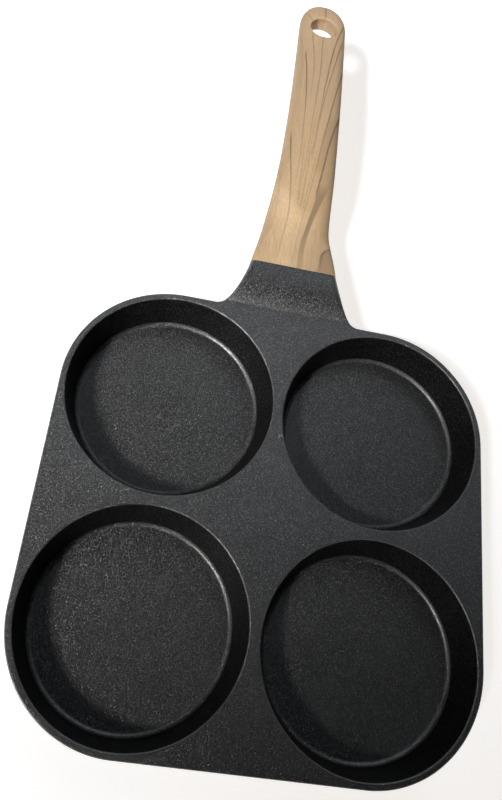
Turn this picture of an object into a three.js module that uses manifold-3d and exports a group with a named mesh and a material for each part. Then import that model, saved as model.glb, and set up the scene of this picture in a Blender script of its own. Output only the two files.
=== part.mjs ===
// Four-cup egg pan: a cast aluminium body with four round cups in a square deck, a flared neck
// with a tang, a moulded handle held on the tang by one screw, and a steel disc under each cup.
//
// Millimetres, +Z up, handle along +Y. The pan stands on z = 0, and the origin is under the middle
// of its overall length. Lengths called "rise" are heights above the deck's top face.

import * as THREE from 'three';
import { mergeVertices } from 'three/addons/utils/BufferGeometryUtils.js';
import Module from 'manifold-3d';

const wasm = await Module();
wasm.setup();

// Fits
const seatGap = 0.3;

// Cups and deck
const cupRimRadius = 45.6;
const cupDepth = 18.7;
const cupDraft = 12.4;
const cupWall = 2.2;
const cupFloor = 3.3;
const rimRounding = 0.8;
const floorRounding = 2.5;
const baseRounding = 3;
const webWidth = 4.8;
const deckLip = 0.82;
const deckThickness = 3.2;
const deckEdgeRounding = 0.6;

// Neck, from the deck's rear edge to the joint with the handle
const neckLength = 23.43;
const neckRootHalfWidth = 35;
const neckFlareHalfWidth = 26.6;
const neckRampSetback = 1.4;
const neckLand = 6.7;
const neckGussetLength = 14;
const jointHalfWidth = 20.9;
const jointHalfHeight = 7.25;
const jointRise = -2.75;
const jointSquareness = 12;
const neckRootSquareness = 14;
const hairStep = 0.05;

// Tang inside the handle
const tangLength = 26;
const tangHalfWidth = 8;
const tangHalfHeight = 3;
const tangOffset = 0.8;
const tangClimb = 1.6;
const tangSquareness = 8;
const tangRootLength = 4;

// Handle: stations along it, counted from the joint, and the round end with its hanging hole
const handleLength = 159.8;
const shoulderAlong = 23.3;
const shoulderHalfWidth = 16.7;
const shoulderHalfHeight = 7.2;
const shoulderRise = -1.2;
const throatAlong = 51.3;
const throatHalfWidth = 14.25;
const throatHalfHeight = 7;
const throatRise = 10.7;
const crestAlong = 93.3;
const crestHalfWidth = 13.1;
const crestHalfHeight = 6.6;
const crestRise = 15.7;
const endHalfWidth = 12.6;
const endHalfHeight = 4.4;
const endRise = 14.9;
const endRoundLength = 16;
const endRoundness = 2.4;
const gripSquareness = 2.2;
const endSquareness = 2.7;
const hangHoleRadius = 6.85;
const hangHoleFromTip = 18.85;
const hangHoleRounding = 1.0;

// Handle screw, its spring washer and the recess that they sit in
const screwFromTangEnd = 10;
const screwShankRadius = 2.4;
const screwHeadRadius = 4.5;
const screwHeadHeight = 2;
const screwHeadRounding = 1.1;
const screwTipChamfer = 0.6;
const screwTipWall = 1.2;
const crossSlotLength = 5;
const crossSlotWidth = 1.3;
const crossSlotDepth = 1.1;
const washerThickness = 0.8;
const washerInset = 0.2;
const washerSlit = 16;
const screwSeatWall = 1.5;
const recessClearance = 0.7;

// Steel discs under the cups
const discMargin = 5;
const discThickness = 0.6;
const discHoleRings = 2;
const discHoleRadius = 2.6;
const discHoleEdge = 4.5;

// Most of a thickness or a height that the rounding of its edges may take up
const roundingShare = 0.45;

// Facets
const cupSides = 48;
const roundSides = 20;
const holeSides = 10;
const ringPoints = 24;
const arcSteps = 2;
const handleSteps = 24;
const endSteps = 6;
const endSweep = 88.2;
const neckSteps = 10;
const weldDistance = 1e-4;
// How far a cutting body runs past the face that it cuts
const overcut = 6;

// Places that follow from the sizes above
const deckTop = cupDepth + cupFloor;
const deckMiddle = deckTop - deckThickness / 2;
const wallSlope = Math.tan(THREE.MathUtils.degToRad(cupDraft));
const cupFloorRadius = cupRimRadius - cupDepth * wallSlope;
const cupBaseRadius = cupFloorRadius + cupWall - cupFloor * wallSlope;
const cupShoulderRadius = cupBaseRadius + deckMiddle * wallSlope;
const discRadius = cupBaseRadius - baseRounding - discMargin;
const cupPitch = 2 * cupRimRadius + webWidth;
const cornerRadius = cupShoulderRadius + deckLip;
const deckHalf = cupPitch / 2 + cornerRadius;
const jointY = deckHalf + neckLength;
const jointTop = deckTop + jointRise + jointHalfHeight;
const jointBottom = deckTop + jointRise - jointHalfHeight;
const tipY = jointY + handleLength;
const screwAlong = tangLength - screwFromTangEnd;
const screwY = jointY + screwAlong;
const tangUnderside = tangHeight(screwAlong) - tangHalfHeight;
const tangTopside = tangHeight(screwAlong) + tangHalfHeight;
const screwSeat = tangUnderside - seatGap - screwSeatWall;
const screwHeadTop = screwSeat - washerThickness - 2 * seatGap;
const screwHeadBottom = screwHeadTop - screwHeadHeight;
const screwTip = tangTopside - screwTipWall - seatGap;
const screwHoleRadius = screwShankRadius + seatGap;

const cupPlaces = [
  { name: 'front_left', x: -1, y: -1 },
  { name: 'front_right', x: 1, y: -1 },
  { name: 'rear_left', x: -1, y: 1 },
  { name: 'rear_right', x: 1, y: 1 },
];

// Solids: joining, cutting and turning them back into geometry

function solid(geometry) {
  const bare = geometry.clone();
  bare.deleteAttribute('normal');
  bare.deleteAttribute('uv');
  const merged = mergeVertices(bare, weldDistance);
  const index = merged.index.array;
  const kept = [];
  for (let i = 0; i < index.length; i += 3) {
    const [a, b, c] = [index[i], index[i + 1], index[i + 2]];
    if (a !== b && b !== c && c !== a) kept.push(a, b, c);
  }
  return new wasm.Manifold(new wasm.Mesh({
    numProp: 3,
    vertProperties: new Float32Array(merged.attributes.position.array),
    triVerts: new Uint32Array(kept),
  }));
}

function geometryOf(body) {
  const mesh = body.getMesh();
  const geometry = new THREE.BufferGeometry();
  geometry.setAttribute('position', new THREE.BufferAttribute(mesh.vertProperties, 3));
  geometry.setIndex(new THREE.BufferAttribute(mesh.triVerts, 1));
  return geometry;
}

// A body turned about the vertical line through (x, y), from a profile of radius and height
function turned(profile, x, y, sides) {
  const geometry = new THREE.LatheGeometry(profile, sides);
  geometry.rotateX(Math.PI / 2);
  geometry.translate(x, y, 0);
  return solid(geometry);
}

function point(radius, height) {
  return new THREE.Vector2(radius, height);
}

function cylinder(radius, bottom, top, x, y, sides) {
  return turned([point(0, bottom), point(radius, bottom), point(radius, top), point(0, top)], x, y, sides);
}

// The arc that rounds the corner of a profile, from its first tangent point to its second
function roundedCorner(before, corner, after, radius) {
  const inward = before.clone().sub(corner).normalize();
  const outward = after.clone().sub(corner).normalize();
  const halfAngle = Math.acos(inward.dot(outward)) / 2;
  const bisector = inward.clone().add(outward).normalize();
  const centre = bisector.multiplyScalar(radius / Math.sin(halfAngle)).add(corner);
  const reach = radius / Math.tan(halfAngle);
  const start = inward.multiplyScalar(reach).add(corner).sub(centre);
  const end = outward.multiplyScalar(reach).add(corner).sub(centre);
  const sweep = Math.atan2(start.cross(end), start.dot(end));
  const points = [];
  for (let i = 0; i <= arcSteps; i++) {
    points.push(start.clone().rotateAround(new THREE.Vector2(), sweep * i / arcSteps).add(centre));
  }
  return points;
}

// A flattened ring in the plane across Y: an ellipse that squares up as squareness grows from 2
function ring(y, centreZ, halfWidth, halfHeight, squareness) {
  const points = [];
  for (let i = 0; i < ringPoints; i++) {
    const angle = 2 * Math.PI * i / ringPoints;
    const [c, s] = [Math.cos(angle), Math.sin(angle)];
    const x = halfWidth * Math.sign(c) * Math.abs(c) ** (2 / squareness);
    const z = halfHeight * Math.sign(s) * Math.abs(s) ** (2 / squareness);
    points.push(new THREE.Vector3(x, y, centreZ + z));
  }
  return points;
}

// A skin over rings that follow each other along +Y, closed by a fan at both ends
function loft(rings) {
  const count = ringPoints;
  const middle = (points) => points.reduce((sum, p) => sum.add(p), new THREE.Vector3()).divideScalar(count);
  const vertices = [...rings.flat(), middle(rings[0]), middle(rings[rings.length - 1])];
  const startCentre = vertices.length - 2;
  const endCentre = vertices.length - 1;
  const lastRing = (rings.length - 1) * count;
  const index = [];
  for (let j = 0; j < count; j++) {
    const k = (j + 1) % count;
    index.push(startCentre, j, k, endCentre, lastRing + k, lastRing + j);
    for (let i = 0; i < lastRing; i += count) {
      index.push(i + j, i + count + j, i + k, i + count + j, i + count + k, i + k);
    }
  }
  const geometry = new THREE.BufferGeometry().setFromPoints(vertices);
  geometry.setIndex(index);
  return solid(geometry);
}

// Pan body

// Square plate whose corners are concentric with the cups, with rounded edges
function deckPlate() {
  const edge = Math.min(deckEdgeRounding, roundingShare * deckThickness);
  const offset = cupPitch / 2;
  const outline = new THREE.Shape();
  outline.absarc(offset, offset, cornerRadius, 0, Math.PI / 2);
  outline.absarc(-offset, offset, cornerRadius, Math.PI / 2, Math.PI);
  outline.absarc(-offset, -offset, cornerRadius, Math.PI, 1.5 * Math.PI);
  outline.absarc(offset, -offset, cornerRadius, 1.5 * Math.PI, 2 * Math.PI);
  const geometry = new THREE.ExtrudeGeometry(outline, {
    depth: deckThickness - 2 * edge,
    bevelThickness: edge,
    bevelSize: edge,
    bevelOffset: -edge,
    bevelSegments: arcSteps,
    curveSegments: cupSides / 8,
  });
  geometry.translate(0, 0, deckTop - deckThickness + edge);
  return solid(geometry);
}

// Outer form of a cup, from its base up into the deck
function cupShell(x, y) {
  const foot = point(0, 0);
  const heel = point(cupBaseRadius, 0);
  const shoulder = point(cupShoulderRadius, deckMiddle);
  const profile = [foot, ...roundedCorner(foot, heel, shoulder, baseRounding), shoulder];
  profile.push(point(0, deckMiddle));
  return turned(profile, x, y, cupSides);
}

// Space inside a cup, with the rounding at its rim
function cupSpace(x, y) {
  const centre = point(0, cupFloor);
  const toe = point(cupFloorRadius, cupFloor);
  const rim = point(cupRimRadius, deckTop);
  const deck = point(2 * cupRimRadius, deckTop);
  const lip = roundedCorner(toe, rim, deck, rimRounding);
  const mouth = point(lip[arcSteps].x, deckTop + overcut);
  const profile = [centre, ...roundedCorner(centre, toe, rim, floorRounding), ...lip, mouth];
  profile.push(point(0, mouth.y));
  return turned(profile, x, y, cupSides);
}

// Cross-section of the neck at a share of its length: 0 at the deck's edge, 1 at the joint
function neckSection(share) {
  const y = deckHalf + neckLength * share;
  const rampStart = deckHalf + neckRampSetback;
  const gussetStart = deckHalf - neckGussetLength;
  // The ramp leaves the deck at a crease and levels out before the joint
  const toGo = 1 - THREE.MathUtils.clamp(
    THREE.MathUtils.inverseLerp(rampStart, jointY - neckLand, y), 0, 1,
  );
  const ramp = 1 - toGo ** 2;
  const drop = THREE.MathUtils.smoothstep(y, gussetStart, jointY);
  const top = THREE.MathUtils.lerp(deckTop - hairStep, jointTop, ramp);
  const bottom = THREE.MathUtils.lerp(deckTop - deckThickness, jointBottom, Math.sqrt(drop));
  // The sides follow a parabola that leaves the deck's edge at a tangent
  const t = Math.sqrt(Math.max(share, 0));
  const flare = 2 * t * (1 - t) * neckFlareHalfWidth;
  const halfWidth = (1 - t) ** 2 * neckRootHalfWidth + flare + t ** 2 * jointHalfWidth;
  const squareness = THREE.MathUtils.lerp(neckRootSquareness, jointSquareness, t);
  return ring(y, (top + bottom) / 2, halfWidth, (top - bottom) / 2, squareness);
}

// Neck: a gusset under the deck, then sides that draw in and a top that ramps up to the joint
function neck() {
  const gussetShare = -neckGussetLength / neckLength;
  const rings = [neckSection(gussetShare), neckSection(gussetShare / 2)];
  for (let i = 0; i <= neckSteps; i++) rings.push(neckSection((i / neckSteps) ** 2));
  return loft(rings);
}

// Height of the tang's middle at a distance from the joint
function tangHeight(along) {
  return deckTop + jointRise + tangOffset + tangClimb * along / tangLength;
}

// Tang that the handle slides onto, or with a gap the socket for it
function tang(gap) {
  const section = (along) => ring(
    jointY + along, tangHeight(along), tangHalfWidth + gap, tangHalfHeight + gap, tangSquareness,
  );
  return loft([section(-tangRootLength), section(0), section(tangLength + gap)]);
}

function panBody() {
  let body = deckPlate().add(neck()).add(tang(0));
  const offset = cupPitch / 2;
  for (const place of cupPlaces) body = body.add(cupShell(place.x * offset, place.y * offset));
  for (const place of cupPlaces) {
    const [x, y] = [place.x * offset, place.y * offset];
    const discRecess = cylinder(discRadius + seatGap, -overcut, discThickness + seatGap, x, y, cupSides);
    body = body.subtract(cupSpace(x, y)).subtract(discRecess);
  }
  const screwHoleEnd = screwTip + seatGap;
  const screwHole = cylinder(screwHoleRadius, tangUnderside - overcut, screwHoleEnd, 0, screwY, roundSides);
  return geometryOf(body.subtract(screwHole));
}

// Base discs

function roundHole(place) {
  const hole = new THREE.Path();
  for (let i = 0; i <= holeSides; i++) {
    const angle = 2 * Math.PI * (i % holeSides) / holeSides;
    const edge = point(discHoleRadius * Math.cos(angle), discHoleRadius * Math.sin(angle)).add(place);
    if (i === 0) hole.moveTo(edge.x, edge.y);
    else hole.lineTo(edge.x, edge.y);
  }
  return hole;
}

// Perforated plate, its holes in rings of a triangular grid round the middle one
function baseDisc(x, y) {
  const outline = new THREE.Shape();
  outline.absarc(0, 0, discRadius, 0, 2 * Math.PI);
  const pitch = (discRadius - discHoleEdge - discHoleRadius) / discHoleRings;
  for (let row = -discHoleRings; row <= discHoleRings; row++) {
    const columns = 2 * discHoleRings + 1 - Math.abs(row);
    for (let column = 0; column < columns; column++) {
      const place = point((column - (columns - 1) / 2) * pitch, row * pitch * Math.sqrt(3) / 2);
      outline.holes.push(roundHole(place));
    }
  }
  const geometry = new THREE.ExtrudeGeometry(outline, {
    depth: discThickness,
    bevelEnabled: false,
    curveSegments: cupSides / 2,
  });
  geometry.translate(x, y, 0);
  return geometryOf(solid(geometry));
}

// Handle

// Outer form: a spine through the stations, a section that changes along it and a rounded end
function handleForm() {
  const startY = jointY + seatGap;
  const endY = tipY - endRoundLength;
  const spine = new THREE.CatmullRomCurve3([
    new THREE.Vector3(0, startY, deckTop + jointRise),
    new THREE.Vector3(0, jointY + shoulderAlong, deckTop + shoulderRise),
    new THREE.Vector3(0, jointY + throatAlong, deckTop + throatRise),
    new THREE.Vector3(0, jointY + crestAlong, deckTop + crestRise),
    new THREE.Vector3(0, endY, deckTop + endRise),
  ], false, 'catmullrom');
  const girth = new THREE.CatmullRomCurve3([
    new THREE.Vector3(jointHalfWidth, jointHalfHeight, jointSquareness),
    new THREE.Vector3(shoulderHalfWidth, shoulderHalfHeight, gripSquareness),
    new THREE.Vector3(throatHalfWidth, throatHalfHeight, gripSquareness),
    new THREE.Vector3(crestHalfWidth, crestHalfHeight, gripSquareness),
    new THREE.Vector3(endHalfWidth, endHalfHeight, endSquareness),
  ], false, 'catmullrom');
  const rings = [];
  for (let i = 0; i <= handleSteps; i++) {
    const centre = spine.getPoint(i / handleSteps);
    const size = girth.getPoint(i / handleSteps);
    rings.push(ring(centre.y, centre.z, size.x, size.y, Math.max(size.z, 2)));
  }
  const slope = spine.getTangent(1);
  for (let i = 1; i <= endSteps; i++) {
    const share = Math.sin(THREE.MathUtils.degToRad(endSweep * i / endSteps));
    const halfWidth = endHalfWidth * Math.sqrt(1 - share ** 2);
    const halfHeight = endHalfHeight * (1 - share ** endRoundness) ** (1 / endRoundness);
    const along = endRoundLength * share;
    const centreZ = deckTop + endRise + along * slope.z / slope.y;
    rings.push(ring(endY + along, centreZ, halfWidth, halfHeight, endSquareness));
  }
  return loft(rings);
}

// Hanging hole through the handle's end, flared at both faces
function hangHole() {
  const y = tipY - hangHoleFromTip;
  const middle = deckTop + endRise;
  const reach = hangHoleRadius + 2 * overcut;
  const [low, high] = [middle - endHalfHeight, middle + endHalfHeight];
  const [lowEdge, highEdge] = [point(hangHoleRadius, low), point(hangHoleRadius, high)];
  const lowFlare = roundedCorner(point(reach, low), lowEdge, highEdge, hangHoleRounding);
  const highFlare = roundedCorner(lowEdge, highEdge, point(reach, high), hangHoleRounding);
  const [bottom, top] = [low - overcut, high + overcut];
  const flareRadius = lowFlare[0].x;
  const profile = [point(0, bottom), point(flareRadius, bottom), ...lowFlare, ...highFlare];
  profile.push(point(flareRadius, top), point(0, top));
  return turned(profile, 0, y, roundSides);
}

// Recess for the screw's head from below, and the hole for its shank up into the socket
function screwRecess() {
  const recessRadius = screwHeadRadius + recessClearance;
  const mouth = screwHeadBottom - overcut;
  const profile = [
    point(0, mouth),
    point(recessRadius, mouth),
    point(recessRadius, screwSeat),
    point(screwHoleRadius, screwSeat),
    point(screwHoleRadius, tangUnderside + tangHalfHeight),
    point(0, tangUnderside + tangHalfHeight),
  ];
  return turned(profile, 0, screwY, roundSides);
}

function handleGrip() {
  const grip = handleForm().subtract(tang(seatGap)).subtract(hangHole()).subtract(screwRecess());
  return geometryOf(grip);
}

// Screw and washer

function handleScrew() {
  const foot = point(0, screwHeadBottom);
  const heel = point(screwHeadRadius, screwHeadBottom);
  const shoulder = point(screwHeadRadius, screwHeadTop);
  const headRounding = Math.min(screwHeadRounding, 2 * roundingShare * screwHeadHeight);
  const profile = [
    foot,
    ...roundedCorner(foot, heel, shoulder, headRounding),
    shoulder,
    point(screwShankRadius, screwHeadTop),
    point(screwShankRadius, screwTip - screwTipChamfer),
    point(screwShankRadius - screwTipChamfer, screwTip),
    point(0, screwTip),
  ];
  let screw = turned(profile, 0, screwY, roundSides);
  for (const angle of [0, Math.PI / 2]) {
    const slot = new THREE.BoxGeometry(crossSlotLength, crossSlotWidth, 2 * crossSlotDepth);
    slot.rotateZ(angle);
    slot.translate(0, screwY, screwHeadBottom);
    screw = screw.subtract(solid(slot));
  }
  return geometryOf(screw);
}

// Split ring between the screw's head and the handle
function screwWasher() {
  const half = THREE.MathUtils.degToRad(washerSlit / 2);
  const outline = new THREE.Shape();
  outline.absarc(0, 0, screwHeadRadius - washerInset, half, 2 * Math.PI - half, false);
  outline.absarc(0, 0, screwHoleRadius, 2 * Math.PI - half, half, true);
  const geometry = new THREE.ExtrudeGeometry(outline, {
    depth: washerThickness,
    bevelEnabled: false,
    curveSegments: roundSides / 2,
  });
  geometry.translate(0, screwY, screwSeat - seatGap - washerThickness);
  return geometryOf(solid(geometry));
}

// Assembly

const coating = new THREE.MeshStandardMaterial({ color: 0x3a3d40, roughness: 0.55, metalness: 0.2 });
const woodPrint = new THREE.MeshStandardMaterial({ color: 0xc3a684, roughness: 0.5, metalness: 0 });
const discSteel = new THREE.MeshStandardMaterial({ color: 0xb4b6b8, roughness: 0.35, metalness: 1 });
const screwSteel = new THREE.MeshStandardMaterial({ color: 0xc8cacc, roughness: 0.3, metalness: 1 });

function piece(name, geometry, material) {
  const mesh = new THREE.Mesh(geometry, material);
  mesh.name = name;
  return mesh;
}

const pan = new THREE.Group();
pan.add(piece('pan_body', panBody(), coating));
for (const place of cupPlaces) {
  const disc = baseDisc(place.x * cupPitch / 2, place.y * cupPitch / 2);
  pan.add(piece(`base_disc_${place.name}`, disc, discSteel));
}
pan.add(piece('handle_grip', handleGrip(), woodPrint));
pan.add(piece('handle_screw', handleScrew(), screwSteel));
pan.add(piece('screw_washer', screwWasher(), screwSteel));
pan.position.y = (deckHalf - tipY) / 2;

export default pan;
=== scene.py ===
"""Four-cup egg pan: a coated aluminium casting with a wood-print handle, dressed for rendering.

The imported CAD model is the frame. Shapes are worked out in millimetres about the pan's centre, with
the handle along +Y and z = 0 under the base, and go into the CAD model's frame, in metres, when an
object is made.
"""

import math

import bmesh
import bpy
import numpy as np
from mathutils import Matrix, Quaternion, Vector


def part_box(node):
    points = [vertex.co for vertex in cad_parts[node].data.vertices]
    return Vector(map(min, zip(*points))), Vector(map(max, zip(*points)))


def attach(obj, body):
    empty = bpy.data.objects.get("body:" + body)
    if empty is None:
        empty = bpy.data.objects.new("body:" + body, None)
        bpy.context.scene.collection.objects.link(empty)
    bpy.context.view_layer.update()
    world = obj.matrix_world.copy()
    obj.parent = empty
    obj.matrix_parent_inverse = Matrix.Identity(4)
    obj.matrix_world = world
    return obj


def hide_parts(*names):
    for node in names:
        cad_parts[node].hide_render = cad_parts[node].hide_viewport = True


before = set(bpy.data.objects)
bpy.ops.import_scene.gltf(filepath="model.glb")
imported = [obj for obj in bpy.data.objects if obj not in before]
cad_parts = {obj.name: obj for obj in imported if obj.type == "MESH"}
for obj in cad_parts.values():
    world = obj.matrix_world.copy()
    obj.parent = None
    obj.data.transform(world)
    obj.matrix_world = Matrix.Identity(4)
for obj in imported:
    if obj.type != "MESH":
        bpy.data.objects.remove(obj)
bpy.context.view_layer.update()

MM = 0.001
SEAT_GAP = 0.3

# Cups and deck
CUP_RIM_RADIUS = 45.6
CUP_DEPTH = 18.7
CUP_DRAFT = math.radians(12.4)
CUP_WALL = 2.2
CUP_FLOOR = 3.3
RIM_ROUNDING = 0.8
FLOOR_ROUNDING = 2.5
BASE_ROUNDING = 3.0
DECK_THICKNESS = 3.2
DECK_LIP = 0.82

# Edges of the plate: how far the rounding reaches in from the side, and how far down or up
DECK_TOP_EDGE = (0.6, 0.6)
DECK_BOTTOM_EDGE = (0.4, 0.6)
JOINT_EDGE = (3.0, 2.0)
JOINT_LIP = 0.2
JOINT_LINE = 0.12

# Neck
NECK_ROOT_HALF_WIDTH = 35.0
NECK_FLARE_HALF_WIDTH = 26.6
NECK_RAMP_SETBACK = 1.4
NECK_LAND = 6.7
NECK_CREASE_BLEND = 0.8
NECK_GUSSET_LENGTH = 14.0
GUSSET_FLAT_SHARE = 0.7
NECK_SIDE_DEEPENING = 9.0
JOINT_HALF_WIDTH = 20.9
JOINT_HALF_HEIGHT = 7.25
JOINT_RISE = -2.75
JOINT_SQUARENESS = 12.0

# Tang inside the handle
TANG_LENGTH = 26.0
TANG_HALF_WIDTH = 8.0
TANG_HALF_HEIGHT = 3.0
TANG_OFFSET = 0.8
TANG_CLIMB = 1.6
TANG_SQUARENESS = 8.0
TANG_ROOT_LENGTH = 4.0

# Handle stations: distance from the joint, rise above the deck, half width, half height, squareness
SHOULDER = (23.3, -1.2, 16.7, 7.2, 2.2)
THROAT = (51.3, 10.7, 14.25, 7.0, 2.2)
CREST = (93.3, 15.7, 13.1, 6.6, 2.2)
END_RISE = 14.9
END_HALF_WIDTH = 12.6
END_HALF_HEIGHT = 4.4
END_SQUARENESS = 2.7
ELLIPSE_SQUARENESS = 2.0
SQUARENESS_BLEND = 0.5
END_ROUND_LENGTH = 16.0
END_ROUNDNESS = 2.4
END_SWEEP = math.radians(89.4)
HANG_HOLE_RADIUS = 6.85
HANG_HOLE_FROM_TIP = 18.85
HANG_HOLE_ROUNDING = 1.0

# Screw, and the recess that it sits in
SCREW_SHANK_RADIUS = 2.4
SCREW_HEAD_HEIGHT = 2.0
SCREW_HEAD_ROUNDING = 1.1
SCREW_TIP_CHAMFER = 0.6
CROSS_SLOT = (5.0, 1.3, 1.1)
RECESS_CLEARANCE = 0.7
RECESS_EDGE = 0.5

# Base discs
DISC_HOLE_RADIUS = 2.6
DISC_HOLE_EDGE = 4.5
DISC_HOLE_RINGS = 2
DISC_EDGE = 0.12

# Fineness
CUP_SIDES = 160
ROUND_SIDES = 64
HOLE_SIDES = 32
ARC_STEPS = 8
CORNER_STEPS = 64
EDGE_STEPS = 6
NECK_ROWS = 72
NECK_COLUMNS = 20
GUSSET_ROWS = 16
RING_POINTS = 192
HANDLE_ROWS = 180
END_ROWS = 28
OVERCUT = 6.0
SMOOTH_LIMIT = math.radians(34)
TINY = 1e-30


def box_mm(node):
    """Lowest and highest corner of a CAD node, in millimetres in the CAD model's frame."""
    low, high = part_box(node)
    return np.array(low) / MM, np.array(high) / MM


# Places read from the frame
pan_low, pan_high = box_mm("pan_body")
handle_low, handle_high = box_mm("handle_grip")
screw_low, screw_high = box_mm("handle_screw")
_, washer_high = box_mm("screw_washer")
DECK_HALF = pan_high[0]
PAN_CENTRE = np.array((0.0, pan_low[1] + DECK_HALF, 0.0))
JOINT_Y = handle_low[1] - SEAT_GAP - PAN_CENTRE[1]
TIP_Y = handle_high[1] - PAN_CENTRE[1]
NECK_LENGTH = JOINT_Y - DECK_HALF
CUP_NAMES = ("front_left", "front_right", "rear_left", "rear_right")
DISC_BOXES = {name: box_mm(f"base_disc_{name}") for name in CUP_NAMES}
CUP_CENTRES = {name: (low + high)[:2] / 2 - PAN_CENTRE[:2] for name, (low, high) in DISC_BOXES.items()}
DISC_LOW, DISC_HIGH = DISC_BOXES["front_left"]
DISC_RADIUS = (DISC_HIGH - DISC_LOW)[0] / 2
DISC_THICKNESS = (DISC_HIGH - DISC_LOW)[2]
SCREW_Y = (screw_low + screw_high)[1] / 2 - PAN_CENTRE[1]
SCREW_HEAD_RADIUS = (screw_high - screw_low)[0] / 2
SCREW_SEAT = washer_high[2] + SEAT_GAP

# Places that follow from the sizes
DECK_TOP = CUP_DEPTH + CUP_FLOOR
DECK_BOTTOM = DECK_TOP - DECK_THICKNESS
DECK_MIDDLE = DECK_TOP - DECK_THICKNESS / 2
WALL_SLOPE = math.tan(CUP_DRAFT)
CUP_FLOOR_RADIUS = CUP_RIM_RADIUS - CUP_DEPTH * WALL_SLOPE
CUP_BASE_RADIUS = CUP_FLOOR_RADIUS + CUP_WALL - CUP_FLOOR * WALL_SLOPE
CUP_SHOULDER_RADIUS = CUP_BASE_RADIUS + DECK_MIDDLE * WALL_SLOPE
CORNER_RADIUS = CUP_SHOULDER_RADIUS + DECK_LIP
CORNER_CENTRE = DECK_HALF - CORNER_RADIUS
JOINT_MIDDLE = DECK_TOP + JOINT_RISE
JOINT_TOP = JOINT_MIDDLE + JOINT_HALF_HEIGHT
JOINT_BOTTOM = JOINT_MIDDLE - JOINT_HALF_HEIGHT
HANDLE_ORIGIN = np.array((0.0, JOINT_Y, DECK_TOP))


# Solids are pairs of points and faces


def lerp(a, b, share):
    return a + (b - a) * share


def smoothstep(value, start, end):
    share = np.clip((value - start) / (end - start), 0, 1)
    return share * share * (3 - 2 * share)


def merged(*solids):
    """Several solids that don't touch, as one."""
    points, faces = [], []
    for solid_points, solid_faces in solids:
        first = len(points)
        points.extend(solid_points)
        faces.extend([first + i for i in face] for face in solid_faces)
    return points, faces


def turned(profile, x, y, sides):
    """A body turned about the vertical through (x, y), from radii and heights."""
    points, rings, faces = [], [], []
    for radius, height in profile:
        count = 1 if radius == 0 else sides
        rings.append([len(points) + i for i in range(count)])
        for i in range(count):
            angle = 2 * math.pi * i / sides
            points.append((x + radius * math.cos(angle), y + radius * math.sin(angle), height))
    for low, high in zip(rings, rings[1:]):
        for i in range(sides):
            k = (i + 1) % sides
            corners = [low[i % len(low)], low[k % len(low)], high[k % len(high)], high[i % len(high)]]
            faces.append(list(dict.fromkeys(corners)))
    return points, [face for face in faces if len(face) > 2]


def rounded_corner(before, corner, after, radius):
    """The arc that rounds a profile's corner, from its first tangent point to its second."""
    before, corner, after = np.array(before), np.array(corner), np.array(after)
    inward = (before - corner) / np.linalg.norm(before - corner)
    outward = (after - corner) / np.linalg.norm(after - corner)
    half_angle = math.acos(np.clip(inward @ outward, -1, 1)) / 2
    bisector = (inward + outward) / np.linalg.norm(inward + outward)
    centre = corner + bisector * radius / math.sin(half_angle)
    reach = radius / math.tan(half_angle)
    start = corner + inward * reach - centre
    end = corner + outward * reach - centre
    sweep = math.atan2(start[0] * end[1] - start[1] * end[0], start @ end)
    arc = []
    for i in range(ARC_STEPS + 1):
        c, s = math.cos(sweep * i / ARC_STEPS), math.sin(sweep * i / ARC_STEPS)
        arc.append((centre[0] + c * start[0] - s * start[1], centre[1] + s * start[0] + c * start[1]))
    return arc


def ring(y, middle, half_width, half_height, squareness):
    """A flattened ring across Y: an ellipse that squares up as squareness grows from 2."""
    angles = 2 * np.pi * np.arange(RING_POINTS) / RING_POINTS
    c, s = np.cos(angles), np.sin(angles)
    reach = (np.abs(c) ** squareness + np.abs(s) ** squareness) ** (-1 / squareness)
    x = half_width * reach * c
    z = middle + half_height * reach * s
    return np.column_stack((x, np.full_like(x, y), z))


def loft(rings):
    """A skin over rings of the same number of points, closed at both ends."""
    count = len(rings[0])
    points = [tuple(point) for one in rings for point in one]
    last = len(points) - count
    faces = [list(range(count)), list(range(last, last + count))]
    for first in range(0, last, count):
        for i in range(count):
            k = (i + 1) % count
            faces.append([first + i, first + k, first + count + k, first + count + i])
    return points, faces


# Objects


def new_object(name, solid, origin=(0, 0, 0)):
    """A mesh object of a solid. Its origin, where its textures start, is also about the pan's centre."""
    points, faces = solid
    mesh = bpy.data.meshes.new(name)
    mesh.from_pydata(((np.array(points) - origin) * MM).tolist(), [], faces)
    shape = bmesh.new()
    shape.from_mesh(mesh)
    bmesh.ops.recalc_face_normals(shape, faces=shape.faces)
    shape.to_mesh(mesh)
    shape.free()
    obj = bpy.data.objects.new(name, mesh)
    obj.location = (PAN_CENTRE + origin) * MM
    bpy.context.scene.collection.objects.link(obj)
    return obj


def remove(obj):
    mesh = obj.data
    bpy.data.objects.remove(obj)
    bpy.data.meshes.remove(mesh)


def combine(obj, solid, operation):
    """Joins a solid to an object, or cuts it out."""
    other = new_object("tool", solid)
    modifier = obj.modifiers.new(operation, "BOOLEAN")
    modifier.operation = operation
    modifier.solver = "MANIFOLD"
    modifier.object = other
    bpy.context.view_layer.update()
    evaluated = obj.evaluated_get(bpy.context.evaluated_depsgraph_get())
    before, obj.data = obj.data, bpy.data.meshes.new_from_object(evaluated)
    obj.modifiers.clear()
    bpy.data.meshes.remove(before)
    obj.data.name = obj.name
    remove(other)


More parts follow.
